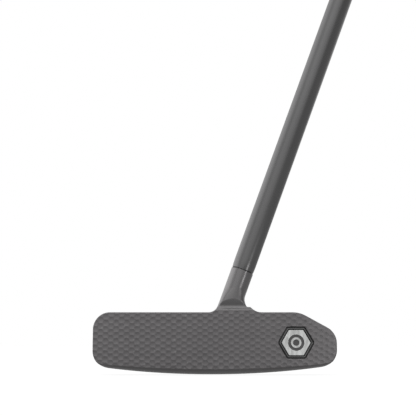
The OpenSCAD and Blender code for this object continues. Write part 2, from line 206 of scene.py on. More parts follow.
def flare(x, y, z):
    """Distance to the neck's flared root: level ovals, fuller at the foot, between the fillets."""
    lean = AXIS_X + z / math.tan(LIE)
    heel_level = TOP_Z - HEEL_SINK
    heel_foot = AXIS_X + heel_level / math.tan(LIE)
    toe_t, heel_t = TOE_FILLET * math.tan(LIE / 2), HEEL_FILLET / math.tan(LIE / 2)
    level = np.maximum(z, TOP_Z + 0.02)
    toe_drop = np.clip(level - TOP_Z - TOE_FILLET, -TOE_FILLET, TOE_FILLET)
    heel_drop = np.clip(level - heel_level - HEEL_FILLET, -HEEL_FILLET, HEEL_FILLET)
    toe_arc = FOOT_X - NECK_REACH - toe_t + np.sqrt(TOE_FILLET ** 2 - toe_drop ** 2)
    heel_arc = heel_foot + NECK_REACH + heel_t - np.sqrt(HEEL_FILLET ** 2 - heel_drop ** 2)
    toe_line, heel_line = lean - NECK_REACH, lean + NECK_REACH
    toe_end = np.where(z < TOP_Z + toe_t * math.sin(LIE), np.minimum(toe_arc, toe_line), toe_line)
    heel_end = np.where(z < heel_level + heel_t * math.sin(LIE), np.maximum(heel_arc, heel_line),
                        heel_line)
    half = (heel_end - toe_end) / 2
    fade = np.clip((z - ROOT_FADE_Z) / ROOT_FADE, 0, 1)
    depth_back = NECK_R * (ROOT_THIN + (1 - ROOT_THIN) * fade * fade * (3 - 2 * fade))
    depth = np.where(y > AXIS_Y, depth_back, NECK_R)
    power = FOOT_POWER - (FOOT_POWER - 2) * np.clip((z - TOP_Z - OVAL_RISE) / OVAL_FADE, 0, 1)
    along = np.abs(x - (heel_end + toe_end) / 2) / half
    through = np.abs(y - AXIS_Y) / depth
    rho = (along ** power + through ** power) ** (1 / power)
    return (rho - 1) * np.minimum(half, depth)


def pad(x, y, z):
    """Distance to the low pad that carries the neck, as thick as the blade."""
    toe_x = FOOT_X - NECK_REACH - TOE_FILLET * math.tan(LIE / 2)
    heel_x = FOOT_X + NECK_REACH + PAD_FILLET + PAD_REACH
    toe_side = np.maximum(TOE_FILLET - np.hypot(x - toe_x, z - TOP_Z - TOE_FILLET), toe_x - x)
    heel_side = np.maximum(PAD_FILLET - np.hypot(x - heel_x, z - TOP_Z - PAD_FILLET), x - heel_x)
    outline = np.maximum(cut_round(heel_side, z - TOP_Z - PAD_RISE, PAD_EDGE), toe_side)
    return np.maximum(cut_round(outline, y - BLADE_BACK, PAD_BACK_EDGE), TOP_Z - PAD_SINK - z)


def notch(out, up):
    """Distance to the wedge cut across the front of the neck's root, from a lip up to a flank."""
    ledge = TOP_Z - LEADING_EDGE + LEDGE_RISE
    lip = ledge - NOTCH_MOUTH * NOTCH_LIP
    rim = ledge + NOTCH_HEIGHT + NOTCH_MOUTH * NOTCH_FLANK
    meet = NOTCH_HEIGHT / (NOTCH_FLANK + NOTCH_LIP)
    corners = [(-NOTCH_MOUTH, lip), (meet, ledge + meet * NOTCH_LIP), (-NOTCH_MOUTH, rim)]
    return rounded_polygon(-out, up, corners, [SQUARE, NOTCH_R, SQUARE])


def axis_frame(x, y, z):
    """Height along the shaft axis from the ground, and distance from the axis."""
    height = (x - AXIS_X) * UP_SHAFT[0] + z * UP_SHAFT[2]
    across = (x - AXIS_X) * UP_SHAFT[2] - z * UP_SHAFT[0]
    return height, np.hypot(across, y - AXIS_Y)


def face_frame(x, y, z):
    """Height up the lofted face from the leading edge, and distance out of the face."""
    dy, dz = y - FACE_Y, z - LEADING_EDGE
    return dy * FACE_UP[1] + dz * FACE_UP[2], dy * FACE_OUT[1] + dz * FACE_OUT[2]


def hexagon(x, z, flats, r):
    """Distance to a rounded hexagon with two level sides."""
    reach = flats / 2 / math.cos(math.pi / 6)
    angles = [k * math.pi / 3 for k in range(6)]
    corners = [(reach * math.cos(a), reach * math.sin(a)) for a in angles]
    return rounded_polygon(x, z, corners, [r] * 6)


# Milling of the face: a honeycomb of shallow scoops. Columns stand CELL_X apart, and the scoops
# of one column CELL_Z apart, every second column half a step higher, so that the ridges between
# them form hexagons.
CELL_Z = 2.73
CELL_X = CELL_Z * math.sqrt(3) / 2
CELL_START_X, CELL_START_UP = -33.4, 18.34
SCOOP_DEPTH = 0.165


def scoops(x, up):
    """Depth of the milled scoops below the face plane, from 0 at the ridges' corners."""
    best = np.full(np.broadcast(x, up).shape, 1e9)
    column = np.round((x - CELL_START_X) / CELL_X)
    for shift in (-1, 0, 1):
        c = column + shift
        dx = x - CELL_START_X - c * CELL_X
        start = CELL_START_UP + 0.5 * CELL_Z * np.mod(c, 2)
        dz = up - start
        dz = dz - CELL_Z * np.round(dz / CELL_Z)
        best = np.minimum(best, dx * dx + dz * dz)
    corner = (CELL_Z / math.sqrt(3)) ** 2
    return SCOOP_DEPTH * np.maximum(1 - best / corner, 0)


def head(x, y, z):
    """Distance to the whole head, with its milled face, neck and post."""
    up, out = face_frame(x, y, z)
    height, radial = axis_frame(x, y, z)
    milled = out + scoops(x, up)

    blank = cut_round(front_outline(x, z), top_outline(x, y), END_EDGE)
    blank = cut_round(blank, y - BACK_Y, BACK_EDGE)
    blank = cut_round(blank, -rear_relief(x, y, z), RELIEF_EDGE)
    blank = cut_round(blank, sole_camber(x, y, z), SOLE_EDGE)

    neck = np.maximum(radial - NECK_R, NECK_START - height)
    root = np.maximum(flare(x, y, z), TOP_Z - ROOT_DEPTH - z)
    stem = cut_round(join_soft(neck, root, ROOT_BLEND), height - SEAM, SEAM_EDGE)
    body = join_round(np.minimum(blank, pad(x, y, z)), stem, ROOT_FILLET)

    face_end = TOP_Z - LEADING_EDGE + PAD_RISE
    body = cut_round(body, np.minimum(milled, face_end - up), FACE_EDGE)
    body = cut_round(body, -notch(out, up), NOTCH_EDGE)

    badge = hexagon(x - BADGE_X, up - BADGE_UP, BADGE_FLATS, BADGE_R)
    body = cut_round(body, -np.maximum(badge, -out - BADGE_DEPTH), INLAY_EDGE)
    sight = np.maximum(np.abs(x - CENTRE_X) - SIGHT_W / 2, FLANGE_Z - SIGHT_DEPTH - z)
    ends = np.maximum(BLADE_BACK + SIGHT_MARGIN - y, y - BACK_Y + SIGHT_MARGIN)
    body = cut_round(body, -np.maximum(sight, ends), INLAY_EDGE)
    body = np.maximum(body, -z)

    post_end = height - SEAM - POST_LENGTH
    post = np.maximum(cut_round(radial - POST_R, post_end, POST_EDGE), SEAM - 2 - height)
    return np.minimum(body, post)


# ---- meshing a signed distance --------------------------------------------------------------


def gradient(field, points, step=0.01):
    """Unit normals of a distance field at points, by central differences."""
    grad = np.empty_like(points)
    for axis in range(3):
        ahead, behind = points.copy(), points.copy()
        ahead[:, axis] += step
        behind[:, axis] -= step
        grad[:, axis] = (field(*ahead.T) - field(*behind.T)) / (2 * step)
    return grad


def surface_net(field, xs, ys, zs):
    """Quads on the zero surface of a field, sampled on the grid lines xs, ys and zs."""
    values = field(xs[:, None, None], ys[None, :, None], zs[None, None, :])
    inside = values < 0
    shape = np.array(inside.shape)
    lines = (xs, ys, zs)

    total = np.zeros(tuple(shape - 1) + (3,))
    count = np.zeros(tuple(shape - 1))
    for axis in range(3):
        lo = [slice(None)] * 3
        hi = [slice(None)] * 3
        lo[axis], hi[axis] = slice(0, -1), slice(1, None)
        crossing = inside[tuple(lo)] != inside[tuple(hi)]
        at = np.argwhere(crossing)
        i = tuple(at.T)
        j = list(i)
        j[axis] = i[axis] + 1
        a, b = values[i], values[tuple(j)]
        t = a / (a - b)
        point = np.stack([lines[k][i[k]] for k in range(3)], 1)
        point[:, axis] += t * (lines[axis][j[axis]] - lines[axis][i[axis]])
        others = [k for k in range(3) if k != axis]
        for da in (0, 1):
            for db in (0, 1):
                cell = at.copy()
                cell[:, others[0]] -= da
                cell[:, others[1]] -= db
                ok = np.all((cell >= 0) & (cell < shape - 1), axis=1)
                c = tuple(cell[ok].T)
                np.add.at(total, c, point[ok])
                np.add.at(count, c, 1)
    used = count > 0
    index = np.full(used.shape, -1)
    index[used] = np.arange(used.sum())
    verts = total[used] / count[used][:, None]

    quads = []
    for axis in range(3):
        lo = [slice(None)] * 3
        hi = [slice(None)] * 3
        lo[axis], hi[axis] = slice(0, -1), slice(1, None)
        first = inside[tuple(lo)]
        crossing = first != inside[tuple(hi)]
        at = np.argwhere(crossing)
        a, b = (axis + 1) % 3, (axis + 2) % 3
        across = at[:, [a, b]]
        at = at[np.all((across > 0) & (across < shape[[a, b]] - 1), axis=1)]
        around = []
        for da, db in ((1, 1), (0, 1), (0, 0), (1, 0)):
            cell = at.copy()
            cell[:, a] -= da
            cell[:, b] -= db
            around.append(index[tuple(cell.T)])
        quad = np.stack(around, 1)
        flip = ~first[tuple(at.T)]
        quad[flip] = quad[flip][:, ::-1]
        quads.append(quad)
    return verts, np.concatenate(quads)


def settle(field, verts, rounds=4):
    """Moves vertices along the field's gradient onto its zero surface."""
    for _ in range(rounds):
        grad = gradient(field, verts)
        square = np.maximum((grad ** 2).sum(1), 0.05)
        step = np.clip(field(*verts.T) / square, -0.2, 0.2)
        verts = verts - grad * step[:, None]
    return verts


def spaced(stops):
    """Grid lines through (start, spacing) stops, the last of which only ends the last stretch."""
    parts = []
    for (start, pitch), (end, _) in zip(stops, stops[1:]):
        n = max(1, round((end - start) / pitch))
        parts.append(np.linspace(start, end, n, endpoint=False))
    return np.concatenate(parts + [[stops[-1][0]]])


# ---- objects --------------------------------------------------------------------------------


def mesh_object(name, verts, faces, normals=None):
    """A smooth-shaded object from vertices in millimetres."""
    mesh = bpy.data.meshes.new(name)
    mesh.from_pydata((np.asarray(verts, float) * MM).tolist(), [], [list(face) for face in faces])
    mesh.update()
    if normals is None:
        shell = bmesh.new()
        shell.from_mesh(mesh)
        bmesh.ops.recalc_face_normals(shell, faces=shell.faces)
        shell.to_mesh(mesh)
        shell.free()
    mesh.shade_smooth()
    if normals is not None:
        unit = normals / np.maximum(np.linalg.norm(normals, axis=1), 1e-9)[:, None]
        mesh.normals_split_custom_set_from_vertices(unit.tolist())
    obj = bpy.data.objects.new(name, mesh)
    bpy.context.scene.collection.objects.link(obj)
    return obj


def as_piece(obj, node, material):
    """Puts a finished object in the place of a CAD node."""
    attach(obj, BODY)
    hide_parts(node)
    obj.data.materials.append(material)
    return obj


def unmoved(vectors):
    return vectors


def field_object(name, field, xs, ys, zs, place=unmoved, turn=unmoved):
    """An object on the zero surface of a field, with the field's own normals."""
    verts, quads = surface_net(field, xs, ys, zs)
    verts = settle(field, verts)
    normals = gradient(field, verts)
    return mesh_object(name, place(verts), quads, turn(normals))


# ---- the head -------------------------------------------------------------------------------


def build_head():
    """The head, on a grid that is finer about the neck's root, the badge and the face."""
    xs = spaced([(TOE_X - 0.6, 0.42), (-2, 0.3), (24, 0.42), (BADGE_X - 9, 0.3),
                 (BADGE_X + 9, 0.42), (HEEL_X + 0.6, 0)])
    ys = spaced([(FACE_Y - 0.7, 0.3), (FACE_Y + 5, 0.6), (BACK_Y + 0.9, 0)])
    top = (SEAM + POST_LENGTH) * UP_SHAFT[2] + 3
    zs = spaced([(-0.5, 0.42), (LEADING_EDGE + BADGE_UP - 8, 0.33), (TOP_Z - 1, 0.25),
                 (TOP_Z + 7, 0.6), (top, 0)])
    return field_object("head", head, xs, ys, zs)


# ---- the badge ------------------------------------------------------------------------------

# Badge pieces are drawn flat, as (x, height up the face, height out of the face), and then laid
# into the face.

RIDGE_OUT, RIDGE_IN, PLATE = BADGE_FLATS - 1.2, BADGE_FLATS - 2.0, BADGE_FLATS - 3.0
RIDGE_OUT_R, RIDGE_IN_R, PLATE_R = 0.9, 0.7, 0.5
RIDGE_EDGE_R = 0.12
MOTIF_R, MOTIF_LINE, MOTIF_DOT, MOTIF_DEPTH, MOTIF_EDGE = 3.6, 1.2, 1.4, 0.35, 0.06
BASE_T, BOND, ENAMEL_SINK, ENAMEL_RIM = 0.5, 0.1, 0.12, 0.3
BAND_HOLLOW, MOTIF_HOLLOW = 0.08, 0.06


def lay_in_face(points):
    """Moves points from the flat badge drawing onto the lofted face."""
    x, up, out = np.asarray(points).T
    corner = np.array([BADGE_X, FACE_Y, LEADING_EDGE])
    in_face = x[:, None] * [1, 0, 0] + (up + BADGE_UP)[:, None] * FACE_UP
    return corner + in_face + out[:, None] * FACE_OUT


def turn_to_face(vectors):
    """The same turn for directions."""
    x, up, out = np.asarray(vectors).T
    return x[:, None] * [1, 0, 0] + up[:, None] * FACE_UP + out[:, None] * FACE_OUT


def motif(x, up, widen=0.0):
    """Distance to the ring and the dot."""
    rho = np.hypot(x, up)
    ring = np.abs(rho - MOTIF_R + MOTIF_LINE / 2) - MOTIF_LINE / 2 - widen
    return np.minimum(ring, rho - MOTIF_DOT - widen)


def rim_hexagon(x, up):
    """Distance to the badge's rim, a hair inside its pocket."""
    return hexagon(x, up, BADGE_FLATS - 0.02, BADGE_R)


def badge_metal(x, up, out):
    """Distance to the badge's base, its ridge and its raised centre with the motif sunk in."""
    floor = -BADGE_DEPTH + BOND
    base = np.maximum(rim_hexagon(x, up), np.maximum(out - floor - BASE_T, floor - out))
    ridge = cut_round(hexagon(x, up, RIDGE_OUT, RIDGE_OUT_R), -hexagon(x, up, RIDGE_IN, RIDGE_IN_R),
                      RIDGE_EDGE_R)
    centre = hexagon(x, up, PLATE, PLATE_R)
    raised = cut_round(np.minimum(ridge, centre), out, RIDGE_EDGE_R)
    raised = np.maximum(raised, floor - out)
    body = np.minimum(base, raised)
    sunk = np.maximum(motif(x, up, 0.01), -out - MOTIF_DEPTH)
    return cut_round(body, -sunk, MOTIF_EDGE)


def badge_enamel(x, up, out):
    """Distance to the two bands of enamel beside the ridge, a little hollow between their edges."""
    outer = np.maximum(rim_hexagon(x, up), -hexagon(x, up, RIDGE_OUT, RIDGE_OUT_R))
    inner = np.maximum(hexagon(x, up, RIDGE_IN, RIDGE_IN_R), -hexagon(x, up, PLATE, PLATE_R))
    bands = np.minimum(outer, inner)
    level = -ENAMEL_SINK - BAND_HOLLOW * np.clip(-bands / ENAMEL_RIM, 0, 1)
    return np.maximum(bands, np.maximum(out - level, -BADGE_DEPTH + BOND + BASE_T - out))


def motif_enamel(x, up, out):
    """Distance to the enamel in the motif."""
    shape = motif(x, up)
    level = -ENAMEL_SINK - MOTIF_HOLLOW * np.clip(-shape / ENAMEL_RIM, 0, 1)
    return np.maximum(shape, np.maximum(out - level, -MOTIF_DEPTH - out))


def build_badge(name, field, pitch, reach, low):
    """A badge piece, from a grid that reaches as far sideways and as low as it is told."""
    side = spaced([(-reach, pitch), (reach, 0)])
    outs = spaced([(low - 0.15, 0.1), (0.15, 0)])
    return field_object(name, field, side, side, outs, lay_in_face, turn_to_face)


def darken_ridge(obj, material):
    """Gives everything outside the badge's centre a second, dark material."""
    obj.data.materials.append(material)
    corner = Vector((BADGE_X, FACE_Y, LEADING_EDGE)) * MM
    up_face = Vector(FACE_UP)
    for face in obj.data.polygons:
        from_corner = (face.center - corner) / MM
        x, up = from_corner.x, from_corner.dot(up_face) - BADGE_UP
        if hexagon(np.array(x), np.array(up), PLATE + 0.3, PLATE_R) > 0:
            face.material_index = 1


# ---- the shaft and the grip -----------------------------------------------------------------

# Pieces along the shaft are drawn as (across towards the heel, front to back, height on the axis).

ACROSS = np.array([UP_SHAFT[2], 0, -UP_SHAFT[0]])
AXIS_FOOT = np.array([AXIS_X, AXIS_Y, 0])
TIP_R, BUTT_R, WALL = 5.2, 7.35, 0.45
STEPS, STEP_PITCH, STEP_START, STEP_RISE = 11, 30, 215, 0.8
STEP_PROFILE = ((0, 0.0), (0.25, 0.12), (0.5, 0.5), (0.75, 0.88), (1, 1.0))
SHAFT_START, SHAFT_END = SEAM + 0.25, 859
TIP_RELIEF, TIP_EASE, TIP_BEVEL, CHAMFER = 0.15, 4, 0.12, 0.15


def on_axis(points):
    """Moves points drawn about the shaft axis to their place."""
    u, y, h = np.asarray(points, float).T
    return AXIS_FOOT + u[:, None] * ACROSS + y[:, None] * [0, 1, 0] + h[:, None] * UP_SHAFT


def ring_faces(total, sides):
    """Quads between rings of vertices, the last of which joins the first."""
    faces = []
    for i in range(total):
        j = (i + 1) % total
        for k in range(sides):
            m = (k + 1) % sides
            faces.append((i * sides + k, j * sides + k, j * sides + m, i * sides + m))
    return faces


def lathe(name, profile, sides=96):
    """A closed ring-shaped solid, turned from a loop of (radius, height) about the shaft axis."""
    profile = np.array(profile, float)
    angles = np.arange(sides) * 2 * math.pi / sides
    radii, heights = profile.T
    rings = np.stack([np.outer(np.cos(angles), radii), np.outer(np.sin(angles), radii),
                      np.tile(heights, (sides, 1))], 2)
    obj = mesh_object(name, on_axis(rings.reshape(-1, 3)), ring_faces(sides, len(profile)))
    obj.data.set_sharp_from_angle(angle=math.radians(34))
    return obj


def build_shaft():
    """The stepped tube, with its eased lower end, small chamfers and open bore."""
    def radius(k):
        return TIP_R + (BUTT_R - TIP_R) * k / STEPS

    ease = [(TIP_R - TIP_RELIEF * (1 - t) ** 2, SHAFT_START + CHAMFER + TIP_EASE * t)
            for t in np.linspace(0, 1, 9)]
    outside = [(TIP_R - TIP_RELIEF - TIP_BEVEL, SHAFT_START)] + ease
    inside = [(TIP_R - WALL, SHAFT_START)]
    for k in range(1, STEPS + 1):
        foot = STEP_START + (k - 1) * STEP_PITCH
        low, high = radius(k - 1), radius(k)
        for t, blend in STEP_PROFILE:
            outside.append((low + (high - low) * blend, foot + t * STEP_RISE))
        inside += [(low - WALL, foot), (high - WALL, foot + STEP_RISE)]
    outside += [(BUTT_R, SHAFT_END - CHAMFER), (BUTT_R - CHAMFER, SHAFT_END)]
    inside.append((BUTT_R - WALL, SHAFT_END))
    return lathe("shaft_tube", outside + inside[::-1])


GRIP_START, CLUB_LENGTH, CAP_T, GRIP_HALF, COLLAR_LENGTH = 597, 864, 5, 9.8, 9
GRIP_LENGTH = CLUB_LENGTH - GRIP_START
COVER_T, VENT_R, GRIP_SIDES = 1.6, 1.5, 180


def bulge(t, at, spread):
    """A smooth swelling about a place along the grip, from 0 to 1."""
    return math.exp(-((t - at) / spread) ** 2)


def grip_ring(t, inset, sides):
    """One closed ring of the grip's section at t, from 0 at its lower end to 1 at the butt."""
    half_w = GRIP_HALF + 2.0 * t + 0.5 * bulge(t, 0.9, 0.15)
    half_front = GRIP_HALF - 0.1 + 0.9 * t
    half_back = GRIP_HALF + 1.9 * t + 3.4 * bulge(t, 0.9, 0.14) - 0.4 * bulge(t, 0.66, 0.1)
    ring = []
    for k in range(sides):
        a = 2 * math.pi * k / sides
        front = math.cos(a) < 0
        power = 2 / 3.6 if front else 2 / 2.3
        depth = half_front if front else half_back
        v = math.copysign(abs(math.cos(a)) ** power, math.cos(a))
        w = math.copysign(abs(math.sin(a)) ** power, math.sin(a))
        ring.append(((depth - inset) * v, (half_w - inset) * w))
    return ring


def groove(value, width):
    """How deep a V-shaped groove is at a distance from its centre line, from 0 to 1."""
    return max(0.0, 1 - abs(value) / width)


# The cover's pattern, with heights from its lower end and angles from the middle of the front.
# The crossed grooves count the way round the grip as GIRTH.
END_BANDS, BAND_W, BAND_DEPTH = (14, 17, 252, 255), 0.8, 0.35
PATTERN_START, PATTERN_END, PATTERN_DEPTH = 20, 249, 0.3
ROW_FROM, ROW_TO, ROW_PITCH, ROW_W = 14, 40, 12, 0.9
CROSS_FROM, CROSS_PITCH, CROSS_LEAN, CROSS_W, GIRTH = 65, 6, 1.1, 0.8, 60


def wrapped(value, pitch):
    """How far a value is past the nearest multiple of pitch."""
    return (value + pitch / 2) % pitch - pitch / 2


def grip_relief(t, k, sides):
    """Depth of the cover's pattern: rows on the front, crossed grooves behind, and end bands."""
    h = t * GRIP_LENGTH
    depth = BAND_DEPTH * max(groove(h - at, BAND_W) for at in END_BANDS)
    if PATTERN_START < h < PATTERN_END:
        side = math.degrees(2 * math.pi * k / sides)
        off_front = abs(side - 180)
        if ROW_FROM < off_front < ROW_TO:
            depth = max(depth, PATTERN_DEPTH * groove(wrapped(h, ROW_PITCH), ROW_W))
        elif off_front >= CROSS_FROM:
            lean = wrapped(side / 360 * GIRTH, GIRTH) * CROSS_LEAN
            ease = min(1.0, (h - PATTERN_START) / 2, (PATTERN_END - h) / 2)
            for slanted in (h + lean, h - lean):
                # the grooves lie halfway between multiples of their pitch
                off_groove = slanted % CROSS_PITCH - CROSS_PITCH / 2
                depth = max(depth, PATTERN_DEPTH * ease * groove(off_groove, CROSS_W))
    return depth


def build_grip_cover():
    """The outer skin with its moulded pattern, closed by its plain inner wall."""
    sides, rings = GRIP_SIDES, 420
    verts = []
    cover = GRIP_LENGTH - CAP_T
    for i in range(rings + 1):
        t = i / rings * cover / GRIP_LENGTH
        end = min(i, rings - i)
        ease = (0.5, 0.15, 0.0)[min(end, 2)]
        plain = grip_ring(t, ease, sides)
        deep = grip_ring(t, ease + 1.0, sides)
        for k, ((u0, y0), (u1, y1)) in enumerate(zip(plain, deep)):
            d = grip_relief(t, k, sides)
            verts.append((u0 + (u1 - u0) * d, y0 + (y1 - y0) * d, GRIP_START + t * GRIP_LENGTH))
    inner_steps = 24
    for i in range(inner_steps + 1):
        t = (1 - i / inner_steps) * cover / GRIP_LENGTH
        for u, y in grip_ring(t, COVER_T, sides):
            verts.append((u, y, GRIP_START + t * GRIP_LENGTH))
    obj = mesh_object("grip_skin", on_axis(verts), ring_faces(rings + inner_steps + 2, sides))
    obj.data.set_sharp_from_angle(angle=math.radians(50))
    return obj


def build_grip_cap():
    """The butt cap: a rounded rim, a shallow dish and the vent hole, closed below."""
    base = CLUB_LENGTH - CAP_T
    # the rim as (inset from the grip's outline, height), the vent as (radius, height)
    rim = [(0.05, 0.0), (0.0, 0.4), (0.0, 3.4), (0.25, 4.2), (0.8, 4.75), (1.5, 5.0), (2.6, 5.0),
           (3.2, 4.7)]
    vent = [(3.4, 4.6), (2.2, 4.9), (1.65, 4.85), (VENT_R, 4.6), (VENT_R, 0.0)]
    verts = []
    for inset, height in rim:
        verts += [(u, y, base + height) for u, y in grip_ring(1, inset, GRIP_SIDES)]
    angles = [math.atan2(y, u) for u, y in grip_ring(1, rim[-1][0], GRIP_SIDES)]
    for radius, height in vent:
        verts += [(radius * math.cos(a), radius * math.sin(a), base + height) for a in angles]
    obj = mesh_object("grip_butt", on_axis(verts), ring_faces(len(rim) + len(vent), GRIP_SIDES))
    obj.data.set_sharp_from_angle(angle=math.radians(40))
    return obj


def build_grip_ring():
    """The tapered collar below the grip, with two fine grooves."""
    foot, lip, top = GRIP_START - COLLAR_LENGTH, BUTT_R + 0.9, GRIP_HALF - 0.1
    outer = []
    for t in np.linspace(0, 1, 46):
        h = foot + COLLAR_LENGTH * t
        cut = 0.3 * max(groove(h - foot - 3.2, 0.6), groove(h - foot - 6, 0.6))
        outer.append((lip + (top - lip) * t - cut, h))
    outer[0] = (lip - 0.25, foot)
    bore = BUTT_R + 0.01
    profile = outer + [(bore, foot + COLLAR_LENGTH), (bore, foot)]
    return lathe("grip_collar", profile, 120)


# ---- materials ------------------------------------------------------------------------------


def tree_math(tree, kind, a, b):
    """The result of a maths node on two numbers or sockets."""
    node = tree.nodes.new("ShaderNodeMath")
    node.operation = kind
    for index, value in enumerate((a, b)):
        if isinstance(value, bpy.types.NodeSocket):
            tree.links.new(value, node.inputs[index])
        else:
            node.inputs[index].default_value = value
    return node.outputs[0]


class Nodes:
    """A short way to write a node tree: each call adds a node and links its inputs."""

    def __init__(self, name):
        self.material = bpy.data.materials.new(name)
        self.material.use_nodes = True
        self.tree = self.material.node_tree
        self.shader = self.tree.nodes["Principled BSDF"]

    def add(self, kind, settings=None, **inputs):
        node = self.tree.nodes.new("ShaderNode" + kind)
        for key, value in (settings or {}).items():
            setattr(node, key, value)
        for key, value in inputs.items():
            self.put(node, key.replace("_", " "), value)
        return node

    def put(self, node, key, value):
        if isinstance(value, bpy.types.NodeSocket):
            self.tree.links.new(value, node.inputs[key])
        else:
            node.inputs[key].default_value = value

    def set(self, **inputs):
        for key, value in inputs.items():
            self.put(self.shader, key.replace("_", " "), value)

    def position(self, stretch=(1, 1, 1)):
        place = self.add("TexCoord").outputs["Object"]
        return self.add("Mapping", Vector=place, Scale=stretch).outputs[0]

    def noise(self, scale, detail=3.0, stretch=(1, 1, 1)):
        place = self.position(stretch)
        return self.add("TexNoise", Vector=place, Scale=scale, Detail=detail).outputs["Fac"]

    def math(self, kind, a, b):
        return tree_math(self.tree, kind, a, b)

    def ramp(self, value, low, high, to_low=0.0, to_high=1.0):
        node = self.add("MapRange", Value=value)
        ends = {"From Min": low, "From Max": high, "To Min": to_low, "To Max": to_high}
        for key, number in ends.items():
            node.inputs[key].default_value = number
        return node.outputs[0]

    def blend(self, factor, a, b):
        node = self.add("Mix", {"data_type": "RGBA"})
        self.put(node, "Factor", factor)
        for key, value in (("A", a), ("B", b)):
            socket = next(s for s in node.inputs if s.name == key and s.type == "RGBA")
            if isinstance(value, bpy.types.NodeSocket):
                self.tree.links.new(value, socket)
            else:
                socket.default_value = (*value, 1)
        return next(s for s in node.outputs if s.type == "RGBA")

    def bump(self, height, strength, distance):
        node = self.add("Bump", Height=height, Strength=strength, Distance=distance)
        self.put(self.shader, "Normal", node.outputs[0])


NECK_FADE = (TOP_Z + 2.5) * MM, (TOP_Z + 5) * MM
# Heights over which the painted highlight above the ledge fades in.
LEDGE_HIGHLIGHT_FADE = (TOP_Z + LEDGE_RISE - 0.1) * MM, (TOP_Z + LEDGE_RISE + 0.1) * MM


def head_steel():
    """Dark satin steel: fine blasted grain, soft clouds, paler on edges, and a smoother, paler
    neck.
    Painted light: paler upwards and towards both ends, and a painted highlight above the ledge."""
    n = Nodes("head_steel")
    parts = n.add("SeparateXYZ", Vector=n.position()).outputs
    neck = n.ramp(parts["Z"], *NECK_FADE)
    # Painted highlight: everything above the ledge, across the notch, is painted paler to stand in
    # for its bright band.
    hollow = n.ramp(parts["Z"], *LEDGE_HIGHLIGHT_FADE)
    edge = n.ramp(n.add("NewGeometry").outputs["Pointiness"], 0.53, 0.62)
    cloud = n.ramp(n.noise(70, 4), 0.35, 0.65)
    fine = n.ramp(n.noise(1400, 3), 0.3, 0.7)
    base = n.blend(cloud, (0.122, 0.117, 0.120), (0.132, 0.127, 0.130))
    # Painted light: the head is painted paler towards its two ends and towards the top line, as if
    # lit from above.
    ends = n.ramp(n.math("ABSOLUTE", parts["X"], 0.0), 36 * MM, 48 * MM, 0.0, 0.35)
    height = n.ramp(parts["Z"], 6 * MM, TOP_Z * MM, 0.1, 0.45)
    base = n.blend(n.math("ADD", height, ends), base, (0.155, 0.149, 0.152))
    base = n.blend(n.math("MULTIPLY", fine, 0.3), base, (0.152, 0.147, 0.150))
    base = n.blend(n.math("MULTIPLY", edge, 0.6), base, (0.20, 0.195, 0.197))
    # The neck's own paler finish, together with the painted highlight above the ledge.
    neck_finish_and_painted_highlight = n.math("MAXIMUM", neck, n.math("MULTIPLY", hollow, 0.8))
    base = n.blend(neck_finish_and_painted_highlight, base, (0.166, 0.162, 0.164))
    blasted = n.ramp(n.noise(600, 3), 0.3, 0.7, 0.36, 0.44)
    rough = n.math("SUBTRACT", blasted, n.math("MULTIPLY", neck, 0.12))
    n.set(Base_Color=base, Metallic=1.0, Roughness=rough)
    grain = n.ramp(parts["Z"], *NECK_FADE, 0.08, 0.02)
    n.bump(n.noise(2600, 2), grain, 0.00005)
    return n.material


def shaft_steel():
    """Dark plated tube with faint lengthwise polishing."""
    n = Nodes("shaft_steel")
    place = n.add("TexCoord").outputs["Object"]
    turned = n.add("VectorRotate", {"rotation_type": "Y_AXIS"}, Vector=place,
                   Angle=LIE - math.pi / 2).outputs[0]
    along = n.add("Mapping", Vector=turned, Scale=(1, 1, 0.02)).outputs[0]
    lines = n.add("TexNoise", Vector=along, Scale=700.0, Detail=2.0).outputs["Fac"]
    cloud = n.ramp(n.noise(40, 4), 0.35, 0.65)
    base = n.blend(cloud, (0.122, 0.121, 0.122), (0.131, 0.130, 0.131))
    base = n.blend(n.ramp(lines, 0.35, 0.65, 0, 0.25), base, (0.142, 0.141, 0.142))
    n.set(Base_Color=base, Metallic=1.0, Roughness=n.ramp(lines, 0.3, 0.7, 0.26, 0.3))
    n.bump(lines, 0.04, 0.00003)
    return n.material


def badge_steel():
    """Pale metal with faint upright swirls from its machining."""
    n = Nodes("badge_metal")
    place = n.position((1, 1, 0.25))
    wave = n.add("TexNoise", Vector=place, Scale=520.0, Detail=2.0, Distortion=1.2).outputs["Fac"]
    fine = n.noise(2200, 2, (1, 1, 0.2))
    swirl = n.ramp(wave, 0.35, 0.65)
    n.set(Base_Color=n.blend(swirl, (0.42, 0.425, 0.42), (0.62, 0.63, 0.625)), Metallic=1.0,
          Roughness=n.ramp(fine, 0.3, 0.7, 0.32, 0.45))
    n.bump(n.math("ADD", n.math("MULTIPLY", wave, 0.7), n.math("MULTIPLY", fine, 0.3)), 0.2, 0.0001)
    return n.material


def dark_ridge():
    """Dark plating, paler on the ridge's pointed edges."""
    n = Nodes("badge_ridge")
    paler_where_pointy = n.ramp(n.add("NewGeometry").outputs["Pointiness"], 0.5, 0.6)
    n.set(Base_Color=n.blend(paler_where_pointy, (0.10, 0.10, 0.10), (0.18, 0.18, 0.18)), Metallic=1.0,
          Roughness=n.ramp(n.noise(900, 3), 0.3, 0.7, 0.35, 0.45))
    n.bump(n.noise(2000, 2), 0.1, 0.00005)
    return n.material


def enamel(name, dark, light):
    """Enamel with a slight orange peel."""
    n = Nodes(name)
    n.set(Base_Color=n.blend(n.noise(500, 3), dark, light),
          Roughness=n.ramp(n.noise(900, 2), 0.3, 0.7, 0.2, 0.32), Specular_IOR_Level=0.3)
    n.bump(n.noise(900, 2), 0.12, 0.0001)
    return n.material


